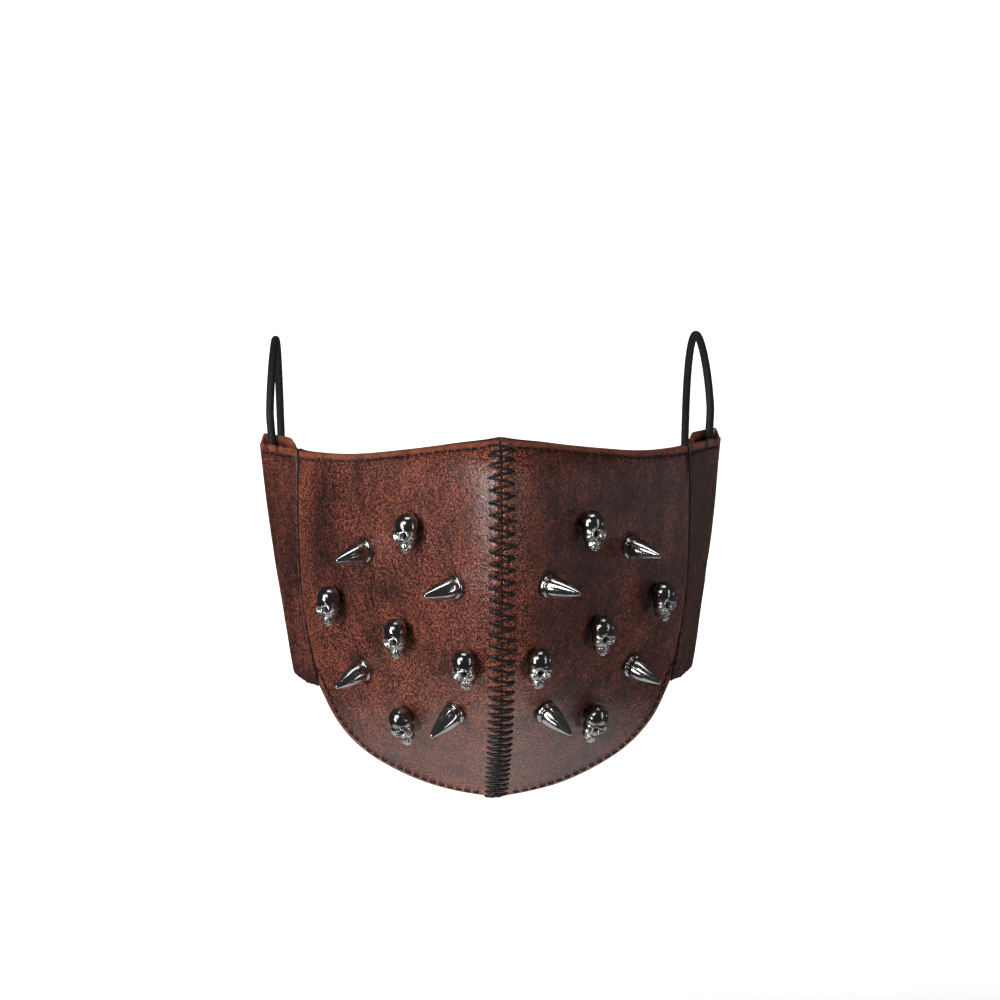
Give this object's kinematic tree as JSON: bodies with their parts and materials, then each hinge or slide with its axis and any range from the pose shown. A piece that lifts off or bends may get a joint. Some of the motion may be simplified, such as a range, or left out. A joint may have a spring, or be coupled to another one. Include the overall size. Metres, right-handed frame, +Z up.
{
  "type": "studded leather half-face mask",
  "caption": "Leather mask for the lower face with a laced centre ridge, cone spikes, skull studs, and elastic ear loops in folded side casings.",
  "frame": {"origin": "in the mask's middle plane, at the height of the nose, level with the rear folds of the two side casings", "axes": "+Z up, -Y the way the wearer looks, +X the wearer's left"},
  "size_m": [0.1586, 0.16, 0.1608],
  "materials": {
    "leather": "distressed brown, satin",
    "foam": "matte",
    "lining": "brushed cloth",
    "thread": "waxed polyester",
    "spike_metal": "polished black nickel",
    "skull_metal": "cast and plated black nickel",
    "screw_steel": "zinc plated",
    "elastic": "braided round elastic",
    "sleeve_metal": "plain"
  },
  "bodies": {
    "mask_front": {"front_panel_left": "leather", "front_panel_right": "leather", "foam_layer_left": "foam", "foam_layer_right": "foam", "lining_left": "lining", "lining_right": "lining", "top_edge_thread_left": "thread", "top_edge_thread_right": "thread", "bottom_edge_thread_left": "thread", "bottom_edge_thread_right": "thread", "side_seam_thread_left": "thread", "side_seam_thread_right": "thread", "centre_seam_thread": "thread", "spike_nose_left": "spike_metal", "spike_nose_right": "spike_metal", "spike_cheek_left": "spike_metal", "spike_cheek_right": "spike_metal", "spike_jaw_left": "spike_metal", "spike_jaw_right": "spike_metal", "spike_chin_left": "spike_metal", "spike_chin_right": "spike_metal", "skull_cheekbone_left": "skull_metal", "skull_cheekbone_right": "skull_metal", "skull_side_left": "skull_metal", "skull_side_right": "skull_metal", "skull_cheek_left": "skull_metal", "skull_cheek_right": "skull_metal", "skull_lip_left": "skull_metal", "skull_lip_right": "skull_metal", "skull_chin_left": "skull_metal", "skull_chin_right": "skull_metal", "spike_screws_left": "screw_steel", "spike_screws_right": "screw_steel", "skull_screws_left": "screw_steel", "skull_screws_right": "screw_steel"},
    "left_casing": {"side_panel_left": "leather", "casing_thread_left": "thread"},
    "left_ear_loop": {"ear_loop_left": "elastic", "ear_loop_sleeve_left": "sleeve_metal"},
    "right_casing": {"side_panel_right": "leather", "casing_thread_right": "thread"},
    "right_ear_loop": {"ear_loop_right": "elastic", "ear_loop_sleeve_right": "sleeve_metal"}
  },
  "joints": [
    {"name": "side_fold_left", "type": "hinge", "parent": "mask_front", "child": "left_casing", "pos_m": [0.06, -0.01484, -0.0625], "axis": [0.0765, -0.1595, 0.9842], "range_deg": [-10, 30], "stiffness_Nm_per_rad": 0.02},
    {"name": "ear_loop_swing_left", "type": "hinge", "parent": "left_casing", "child": "left_ear_loop", "pos_m": [0.06538, -0.0033, -0.05576], "axis": [-0.1258, 0.0567, -0.9904], "range_deg": [-20, 100]},
    {"name": "side_fold_right", "type": "hinge", "parent": "mask_front", "child": "right_casing", "pos_m": [-0.06, -0.01484, -0.0625], "axis": [0.0765, 0.1595, -0.9842], "range_deg": [-10, 30], "stiffness_Nm_per_rad": 0.02},
    {"name": "ear_loop_swing_right", "type": "hinge", "parent": "right_casing", "child": "right_ear_loop", "pos_m": [-0.06538, -0.0033, -0.05576], "axis": [-0.1258, -0.0567, 0.9904], "range_deg": [-20, 100]}
  ]
}
